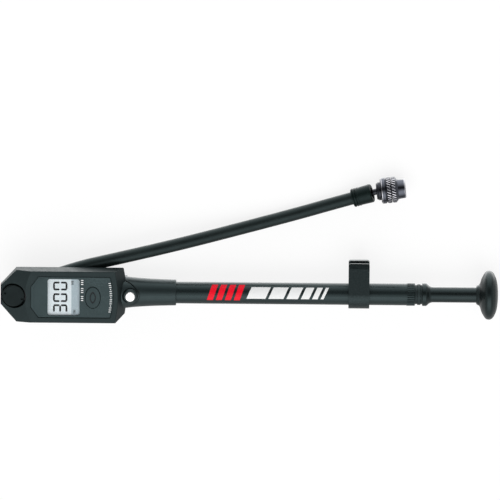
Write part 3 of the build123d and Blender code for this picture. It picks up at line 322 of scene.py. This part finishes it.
def lcd_glass():
    """The display's reflector: pale grey-blue, with a darker strip for the units, and a faint emission that is
    a painted glow, not a lamp.
    """
    # the emission is painted light that lifts the reflector's brightness
    g = Graph(
        "lcd_reflector", LCD_PALE, 0.5, Emission_Color=(0.80, 0.90, 0.98, 1), Emission_Strength=0.12
    )
    strip_start = at(LCD_STRIP_STATION).x
    split = g.node("SeparateXYZ", Vector=g.place)
    g.tint(g.remap(split.outputs["X"], strip_start - 0.1 * MM, strip_start + 0.1 * MM), LCD_STRIP)
    g.tint(g.remap(g.noise(2500, 2), 0.4, 0.6, 0.0, 0.12), (0.75, 0.8, 0.84))
    g.bump(g.noise(6000, 2), 0.2, 0.005 * MM)
    return g.material


def window_plastic():
    """Clear window: mostly see-through, with a polished face and faint wiping marks."""
    g = Graph("clear_window", (0.10, 0.11, 0.115), 0.08)
    g.shader.inputs["Alpha"].default_value = 0.08
    g.vary_roughness(g.noise(140, 4), 0.03)
    return g.material


# ------------------------------------------------------------------ pieces
def add_mesh(name, build, material, body, smooth=True):
    """A mesh piece from a function that fills a bmesh, riding on a body."""
    mesh = bpy.data.meshes.new(name)
    bm = bmesh.new()
    build(bm)
    bmesh.ops.recalc_face_normals(bm, faces=bm.faces)
    bm.to_mesh(mesh)
    bm.free()
    mesh.polygons.foreach_set("use_smooth", [smooth] * len(mesh.polygons))
    mesh.materials.append(material)
    piece = bpy.data.objects.new(name, mesh)
    bpy.context.scene.collection.objects.link(piece)
    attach(piece, body)
    return piece


def plate(bm, outline, low_mm, high_mm):
    """A flat plate with that outline of (station, side) points, between two heights."""
    bottom = [bm.verts.new(at(*point, low_mm)) for point in outline]
    top = [bm.verts.new(at(*point, high_mm)) for point in outline]
    bm.faces.new(bottom[::-1])
    bm.faces.new(top)
    for i in range(len(outline)):
        j = (i + 1) % len(outline)
        bm.faces.new((bottom[i], bottom[j], top[j], top[i]))


def bar(station, side, length, width):
    """Outline of a small bar centred on a place, length along the pump and width across."""
    x, y = length / 2, width / 2
    return [(station + i * x, side + j * y) for i, j in ((-1, -1), (1, -1), (1, 1), (-1, 1))]


# mm below a knurl's crests: painted shade from the first on, a painted highlight above the second
HOLLOW, CREST = 0.15, 0.03
# the second material index is painted shade for hollows, the third a painted highlight for crests and edge
# rings
BODY, SHADE_INDEX, HIGHLIGHT_INDEX = 0, 1, 2  # material indices


def knurl_light_index(depth):
    """The material index of a face of a knurl or thread by its depth below the crests: painted shade deep down,
    a painted highlight at the crests.
    """
    return SHADE_INDEX if depth > HOLLOW else HIGHLIGHT_INDEX if depth < CREST else BODY


def turned(bm, axes, rings, around):
    """A closed surface turned about an axis, from rings in order round its section.

    A ring is a station, a radius function and, optionally, the material index of the faces up to the next ring,
    plain or a painted highlight.
    """
    origin, along, across, upward = axes
    angles = [2 * math.pi * i / around for i in range(around)]
    rows, depths = [], []
    for station, radius, *_ in rings:
        reach = [radius(angle, station) for angle in angles]
        row = []
        for angle, out_mm in zip(angles, reach):
            out = across * math.cos(angle) + upward * math.sin(angle)
            row.append(bm.verts.new(origin + (along * station + out * out_mm) * MM))
        rows.append(row)
        depths.append([max(reach) - out_mm for out_mm in reach])
    for k, (first, second) in enumerate(zip(rows, rows[1:] + rows[:1])):
        look = rings[k][2] if len(rings[k]) > 2 else BODY
        for i in range(around):
            j = (i + 1) % around
            face = bm.faces.new((first[i], first[j], second[j], second[i]))
            if max(depths[k]) > 0:
                face.material_index = knurl_light_index((depths[k][i] + depths[k][j]) / 2)
            else:
                face.material_index = look


# display digits: seven segments, read with the pump's head at the top
DISPLAY_Z = 32.6
DIGIT_TOP, DIGIT_BOTTOM = 38.7, 49.3  # stations
DIGIT_WIDTH, STROKE = 6.6, 1.4
ACROSS_INSET, DOWN_INSET = 0.6 * STROKE, 0.22 * STROKE  # gaps between segments at their ends
INK_LOW, INK_HIGH = DISPLAY_Z + 0.01, DISPLAY_Z + 0.07
DIGITS = [(-12.4, "abgcd"), (-4.0, "abcdef"), (4.8, "abcdef")]  # left side of each cell, lit segments
UNIT_MARKS = [(54.4, -12.2), (52.9, 9.6)]  # station and first side of each group


def digit_segments(left, lit):
    """Outlines of the lit segments of one digit."""
    right = left + DIGIT_WIDTH
    middle = (DIGIT_TOP + DIGIT_BOTTOM) / 2
    half = STROKE / 2
    across = {"a": DIGIT_TOP + half, "g": middle, "d": DIGIT_BOTTOM - half}
    down = {
        "f": (left + half, DIGIT_TOP, middle),
        "b": (right - half, DIGIT_TOP, middle),
        "e": (left + half, middle, DIGIT_BOTTOM),
        "c": (right - half, middle, DIGIT_BOTTOM),
    }
    outlines = []
    for name in lit:
        if name in across:
            x, start, end = across[name], left + ACROSS_INSET, right - ACROSS_INSET
            near, far = start + half, end - half
            outline = [
                (x, start), (x + half, near), (x + half, far), (x, end), (x - half, far), (x - half, near)
            ]
        else:
            y, start, end = down[name]
            start, end = start + DOWN_INSET, end - DOWN_INSET
            near, far = start + half, end - half
            outline = [
                (start, y), (near, y - half), (far, y - half), (end, y), (far, y + half), (near, y + half)
            ]
        outlines.append(outline)
    return outlines


def make_display(material):
    """The reading on the display, with plain unit marks in the strip beside it."""

    def build(bm):
        for left, lit in DIGITS:
            for outline in digit_segments(left, lit):
                plate(bm, outline, INK_LOW, INK_HIGH)
        for station, first in UNIT_MARKS:
            for i in range(3):
                plate(bm, bar(station, first + i * 1.0, 1.7, 0.5), INK_LOW, INK_HIGH)

    add_mesh("display_reading", build, material, "pump_body", smooth=False)


PANEL_INK = (34.49, 34.53)  # heights of the print on the panel
SHORT_ROW_STATION, FAR_ROW_STATION, FAR_ROW_BOW = 60.1, 81.2, 0.008


def make_panel_marks(material):
    """Printed ticks on the panel: a short row by the display and a bowed row by the far edge."""

    def build(bm):
        for i in range(11):
            if i not in (3, 7):
                plate(bm, bar(SHORT_ROW_STATION, -2.2 + 1.52 * i, 1.7, 0.62), *PANEL_INK)
        for i in range(15):
            side = -10.8 + 1.55 * i
            length, width = (0.7, 0.7) if i in (3, 7, 11) else (1.7, 0.52)
            plate(bm, bar(FAR_ROW_STATION - FAR_ROW_BOW * side**2, side, length, width), *PANEL_INK)

    add_mesh("panel_marks", build, material, "pump_body", smooth=False)


BUTTON_STATION = 67.9
LENS_OUTER, LENS_INNER = (4.5, 2.25), (3.5, 1.55)  # half length and half width of the groove
LENS_DEPTH = 0.4  # from the button's top to the groove's floor
# thickness of the dark sheet of painted shade in the groove
SHADE_SHEET = 0.02


def lens_edge(half_length, half_width, steps=20):
    """Points round a lens of two equal arcs that meet in a point at either side."""
    radius = (half_length**2 + half_width**2) / (2 * half_width)
    spread = math.asin(half_length / radius)
    points = []
    for way in (1, -1):
        for i in range(steps):
            angle = way * spread * (2 * i / steps - 1)
            out = radius * math.cos(angle) - (radius - half_width)
            points.append((way * out, radius * math.sin(angle)))
    return points


def make_button_groove_shade(material):
    """A dark sheet on the floor of the lens-shaped groove in the power button, painted shade for the groove's
    shadow.
    """
    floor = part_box("power_button")[1].z / MM - LENS_DEPTH

    def build(bm):
        outer, inner = lens_edge(*LENS_OUTER), lens_edge(*LENS_INNER)
        low, high = floor + SHADE_SHEET / 2, floor + 2 * SHADE_SHEET
        rings = [
            [bm.verts.new(at(BUTTON_STATION + x, y, z)) for x, y in edge]
            for edge, z in ((outer, low), (outer, high), (inner, high), (inner, low))
        ]
        for first, second in zip(rings, rings[1:] + rings[:1]):
            for i in range(len(first)):
                j = (i + 1) % len(first)
                bm.faces.new((first[i], first[j], second[j], second[i]))

    add_mesh("groove_shade_sheet", build, material, "button", smooth=False)


# printed bars wrapped on the barrel
# degrees: the middle, from straight up towards +Y, and half the spread
RED_ARC, WHITE_ARC = (19, 45), (16.5, 32)
PRINT_LEAN = 4.0
PRINT_BOTTOM, PRINT_TOP = BARREL_RADIUS - 0.02 * MM, BARREL_RADIUS + 0.03 * MM
RED_BARS = [(153.5, 4.4), (160.1, 4.4), (166.7, 4.4), (173.3, 4.4)]  # station and length
WHITE_BARS = [(182.5, 14.0), (198.7, 11.0), (211.9, 8.5), (222.6, 6.0), (230.8, 4.0), (237.0, 2.2)]


def make_barrel_print(name, bars, arc, material):
    """Slanted bars printed on the barrel, a plain stand-in for its printing."""

    def build(bm):
        steps = 14
        middle, half = (math.radians(degrees) for degrees in arc)
        for start, length in bars:
            grid = []
            for radius in (PRINT_BOTTOM, PRINT_TOP):
                layer = []
                for i in range(steps + 1):
                    u = 2 * i / steps - 1
                    angle = middle + u * half
                    y, z = AXIS_Y + radius * math.sin(angle), AXIS_Z + radius * math.cos(angle)
                    left = HEAD_END + (start + PRINT_LEAN * u / 2) * MM
                    right = left + length * MM
                    layer.append([bm.verts.new((left, y, z)), bm.verts.new((right, y, z))])
                grid.append(layer)
            inner, outer = grid
            for i in range(steps):
                bm.faces.new((outer[i][0], outer[i][1], outer[i + 1][1], outer[i + 1][0]))
                bm.faces.new((inner[i][0], inner[i + 1][0], inner[i + 1][1], inner[i][1]))
                for k in (0, 1):
                    bm.faces.new((inner[i][k], outer[i][k], outer[i + 1][k], inner[i + 1][k]))
            for i in (0, steps):
                bm.faces.new((inner[i][0], inner[i][1], outer[i][1], outer[i][0]))

    add_mesh(name, build, material, "pump_body", smooth=False)


HOSE_ROUTE_MM = [
    (31.88, 9.187, 17.5),
    (51.6, 17.356, 17.5),
    (91.0, 26.4, 16.6),
    (133.0, 35.75, 12.4),
    (177.0, 46.55, 7.3),
    (219.0, 57.7, 4.7),
    (243.6, 65.25, 4.9),
    (258.3, 70.05, 6.95),
]
HOSE_RADIUS = 4.65 * MM


def make_hose(material):
    """The hose along its route, from the crimped sleeve at the head to the ferrule at the chuck."""
    points = [at(*point) for point in HOSE_ROUTE_MM]
    curve = bpy.data.curves.new("hose_line", "CURVE")
    curve.dimensions = "3D"
    spline = curve.splines.new("NURBS")
    spline.points.add(len(points) - 1)
    for point, place in zip(spline.points, points):
        point.co = (*place, 1)
    spline.order_u = 3
    spline.use_endpoint_u = True
    curve.resolution_u = 24
    curve.bevel_depth = HOSE_RADIUS
    curve.bevel_resolution = 10
    curve.use_fill_caps = True
    curve.materials.append(material)
    hose = bpy.data.objects.new("hose_cover", curve)
    bpy.context.scene.collection.objects.link(hose)
    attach(hose, "hose_arm")
    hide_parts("hose")


# valve chuck: its axis lies level, off the end of the ferrule
FERRULE_LENGTH, STEM_REACH, STEM_SHIFT = 14.8, 3.2, 0.9
CHUCK_ANGLE = math.radians(6.7)
CHUCK_HEIGHT = 9.6
CHUCK_RADIUS = 9.5
TUBE_RADIUS = 4.65  # bore of the ring and the nut, on the chuck's core
KNURLS, KNURL_DEPTH, KNURL_LEAN = 28, 0.45, -4.0
KNURL_FLANK = 1.6  # how soon a ridge reaches its full height
SHARP_ANGLE = math.radians(38)
THREAD_RADIUS, THREAD_PITCH, THREAD_DEPTH = 3.9, 0.794, 0.28


def chuck_axes():
    """Origin at the chuck's flange, its direction, and two directions across it."""
    last, end = (at(*point) for point in HOSE_ROUTE_MM[-2:])
    along = Vector((math.cos(CHUCK_ANGLE), math.sin(CHUCK_ANGLE), 0))
    origin = end + (end - last).normalized() * FERRULE_LENGTH * MM + along * STEM_REACH * MM
    origin.y += STEM_SHIFT * MM
    origin.z = CHUCK_HEIGHT * MM
    upward = Vector((0, 0, 1))
    return origin, along, upward.cross(along), upward


def plain(radius):
    """A ring that is round."""
    return lambda angle, station: radius


def knurled(start, end):
    """Rings of a slanted knurl between two stations."""

    def radius(angle, station):
        phase = (KNURLS * angle / (2 * math.pi) + station / KNURL_LEAN) % 1
        ridge = min(phase, 1 - phase) * 2
        return CHUCK_RADIUS - KNURL_DEPTH * (1 - min(1, ridge * KNURL_FLANK))

    steps = 10
    return [(start + (end - start) * i / steps, radius) for i in range(steps + 1)]


def valve_thread(start, end):
    """Rings of the internal thread that screws onto the valve."""

    def radius(angle, station):
        phase = (station / THREAD_PITCH - angle / (2 * math.pi)) % 1
        return THREAD_RADIUS - THREAD_DEPTH + 2 * THREAD_DEPTH * min(phase, 1 - phase)

    steps = 40
    return [(start + (end - start) * i / steps, radius) for i in range(steps + 1)]


def make_chuck(chuck_materials):
    """The chuck's turning ring and its screw-on nut, with knurls and the nut's thread, in chrome with painted
    shade in the hollows and a painted highlight on crests and edge rings.
    """
    axes = chuck_axes()
    # rings given the third material index carry a painted highlight
    ring = [(3.2, plain(TUBE_RADIUS)), (3.2, plain(8.3)), (3.6, plain(9.0))]
    ring += [(4.0, plain(CHUCK_RADIUS), HIGHLIGHT_INDEX), (4.4, plain(CHUCK_RADIUS)), (6.6, plain(CHUCK_RADIUS))]
    ring += [(6.8, plain(9.3)), (7.2, plain(8.8)), (7.6, plain(8.8)), (7.9, plain(9.2))]
    ring += knurled(8.0, 10.5)
    ring += [(10.9, plain(8.9)), (10.9, plain(TUBE_RADIUS))]
    nut = [(11.2, plain(TUBE_RADIUS)), (11.2, plain(8.9), HIGHLIGHT_INDEX), (11.5, plain(9.2))]
    nut += knurled(11.6, 14.1)
    nut += [(14.3, plain(9.1)), (15.7, plain(7.5)), (15.9, plain(7.3)), (16.3, plain(7.2))]
    nut += [(18.4, plain(7.05)), (20.7, plain(6.9), HIGHLIGHT_INDEX), (21.1, plain(6.75), HIGHLIGHT_INDEX)]
    nut += [(21.4, plain(6.3)), (21.4, plain(4.5)), (20.9, plain(3.95))]
    nut += valve_thread(20.8, 13.3)
    nut += [(13.2, plain(THREAD_RADIUS)), (13.2, plain(TUBE_RADIUS))]
    for name, rings, body, node in (
        ("ring_knurled", ring, "chuck_lock", "lock_ring"),
        ("nut_knurled", nut, "chuck_coupler", "coupler"),
    ):
        piece = add_mesh(name, lambda bm: turned(bm, axes, rings, 8 * KNURLS), chuck_materials[BODY], body)
        for material in chuck_materials[1:]:
            piece.data.materials.append(material)
        piece.data.set_sharp_from_angle(angle=SHARP_ANGLE)
        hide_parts(node)


def coil(bm, start, along, length_mm, radius, wire, turns):
    """A compression spring of round wire, its rings evenly spaced from start along that way."""
    across = along.orthogonal().normalized()
    upward = along.cross(across)
    steps, around = 24 * turns, 10
    rings = []
    for k in range(steps + 1):
        angle = 2 * math.pi * turns * k / steps
        out = across * math.cos(angle) + upward * math.sin(angle)
        middle = start + (out * radius + along * (wire + (length_mm - 2 * wire) * k / steps)) * MM
        ring = []
        for i in range(around):
            turn = 2 * math.pi * i / around
            wire_out = out * math.cos(turn) + along * math.sin(turn)
            ring.append(bm.verts.new(middle + wire_out * wire * MM))
        rings.append(ring)
    for first, second in zip(rings, rings[1:]):
        for i in range(around):
            j = (i + 1) % around
            bm.faces.new((first[i], first[j], second[j], second[i]))
    bm.faces.new(rings[0])
    bm.faces.new(rings[-1][::-1])


# piece, node, joint, direction, coil radius, wire radius, turns and travel
SPRINGS = [
    ("check_coil", "check_spring", "check_lift", (1, 0, 0), 1.25, 0.2, 7, 0.8),
    ("bleed_coil", "bleed_spring", "bleed_press", (0, 0, 1), 2.2, 0.25, 4, 1.2),
]


def make_springs(material):
    """The two valve springs as coils at rest; the real ones shorten as the ball lifts and as the release button
    is pressed, which these don't follow.
    """
    for name, node, joint, way, radius, wire, turns, travel in SPRINGS:
        low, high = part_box(node)
        along = Vector(way)
        length_mm = (high - low).dot(along) / MM
        start = (low + high) / 2 - along * length_mm / 2 * MM

        def build(bm):
            coil(bm, start, along, length_mm, radius, wire, turns)

        piece = add_mesh(name, build, material, "pump_body")
        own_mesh(piece)
        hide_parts(node)


# ------------------------------------------------------------------ stage
SKY = [
    (-180, 0.3),
    (-104, 0.38),
    (-78, 0.42),
    (-60, 0.75),
    (-42, 1.2),
    (-24, 1.35),
    (-8, 1.0),
    (6, 0.5),
    (18, 0.10),
    (34, 0.03),
    (48, 0.2),
    (60, 0.5),
    (80, 0.95),
    (107, 1.45),
    (126, 1.4),
    (150, 1.35),
    (163, 1.85),
    (174, 1.5),
    (180, 0.8),
]  # brightness by the angle from straight up towards +Y, in degrees
SKY_ENDS = 0.35  # brightness towards +X and -X
ENDS_FROM, ENDS_FULL = 0.35, 0.85  # part of a direction along X where the ends' brightness sets in
SKY_STRENGTH = 1.6
FLOOR_WHITE, FLOOR_GLOW = 0.20, 0.82
FLOOR_HALF = 6.0
FLOOR_DROP = 0.1 * MM


def make_stage():
    """A white floor under a soft studio sky: a bank of light on each long side, dark overhead."""
    floor_material = Graph("floor_paper", (FLOOR_WHITE, FLOOR_WHITE, FLOOR_WHITE), 0.9)
    floor_material.bump(floor_material.noise(300, 3), 0.05, 0.1 * MM)
    floor_material.shader.inputs["Emission Color"].default_value = (1, 1, 1, 1)
    floor_material.shader.inputs["Emission Strength"].default_value = FLOOR_GLOW
    mesh = bpy.data.meshes.new("floor")
    corners = [(i * FLOOR_HALF, j * FLOOR_HALF, 0) for i, j in ((-1, -1), (1, -1), (1, 1), (-1, 1))]
    mesh.from_pydata(corners, [], [(0, 1, 2, 3)])
    mesh.materials.append(floor_material.material)
    floor = bpy.data.objects.new("floor", mesh)
    floor.location.z = -FLOOR_DROP
    floor.visible_glossy = False
    bpy.context.scene.collection.objects.link(floor)

    world = bpy.data.worlds.new("studio")
    bpy.context.scene.world = world
    world.use_nodes = True
    nodes, links = world.node_tree.nodes, world.node_tree.links
    background = nodes["Background"]
    direction = nodes.new("ShaderNodeTexCoord")
    split = nodes.new("ShaderNodeSeparateXYZ")
    links.new(direction.outputs["Generated"], split.inputs[0])
    angle = nodes.new("ShaderNodeMath")
    angle.operation = "ARCTAN2"
    links.new(split.outputs["Y"], angle.inputs[0])
    links.new(split.outputs["Z"], angle.inputs[1])
    place = nodes.new("ShaderNodeMapRange")
    place.inputs["From Min"].default_value = -math.pi
    place.inputs["From Max"].default_value = math.pi
    links.new(angle.outputs[0], place.inputs["Value"])
    ramp = nodes.new("ShaderNodeValToRGB")
    ramp.color_ramp.interpolation = "LINEAR"
    stops = ramp.color_ramp.elements
    for degrees, level in SKY[1:-1]:
        stop = stops.new((degrees + 180) / 360)
        stop.color = (level, level, level, 1)
    for stop, (degrees, level) in ((stops[0], SKY[0]), (stops[-1], SKY[-1])):
        stop.color = (level, level, level, 1)
    links.new(place.outputs["Result"], ramp.inputs["Fac"])
    sideways = nodes.new("ShaderNodeMath")
    sideways.operation = "ABSOLUTE"
    links.new(split.outputs["X"], sideways.inputs[0])
    towards_ends = nodes.new("ShaderNodeMapRange")
    towards_ends.interpolation_type = "SMOOTHSTEP"
    towards_ends.inputs["From Min"].default_value = ENDS_FROM
    towards_ends.inputs["From Max"].default_value = ENDS_FULL
    links.new(sideways.outputs[0], towards_ends.inputs["Value"])
    mix = nodes.new("ShaderNodeMix")
    mix.data_type = "RGBA"
    links.new(towards_ends.outputs["Result"], mix.inputs[0])
    links.new(ramp.outputs["Color"], mix.inputs[6])
    mix.inputs[7].default_value = (SKY_ENDS, SKY_ENDS, SKY_ENDS, 1)
    links.new(mix.outputs[2], background.inputs["Color"])
    background.inputs["Strength"].default_value = SKY_STRENGTH


# ------------------------------------------------------------------ build
make_camera()
make_stage()
bpy.context.scene.view_settings.view_transform = "Standard"
materials = make_materials()
slot_of = {part["node"]: part["material_slot"] for part in frame["record"]["subparts"]}
for node, obj in frame["nodes"].items():
    obj.data.materials.clear()
    obj.data.materials.append(materials[slot_of[node]])

own_finish = {
    "chuck_stem": "stem",
    "chuck_core": "stem",
    "hose_swivel": "core",
    "power_button": "panel",
    "palm_pad": "grip",
    "swivel_cap": "cap",
    "hose_clip": "clip",
    "main_body": "neck",
}
for node, look in own_finish.items():
    frame["nodes"][node].data.materials[0] = materials[look]

make_chuck([materials["chuck"], materials["chuck_shade"], materials["chuck_highlight"]])
make_hose(materials["hose"])
make_springs(materials["steel"])
make_display(materials["dark_ink_and_shade"])
make_panel_marks(materials["print_white"])
# dark sheet of painted shade in the button's groove
make_button_groove_shade(materials["dark_ink_and_shade"])
make_barrel_print("barrel_bars_red", RED_BARS, RED_ARC, materials["print_red"])
make_barrel_print("barrel_bars_white", WHITE_BARS, WHITE_ARC, materials["print_white"])
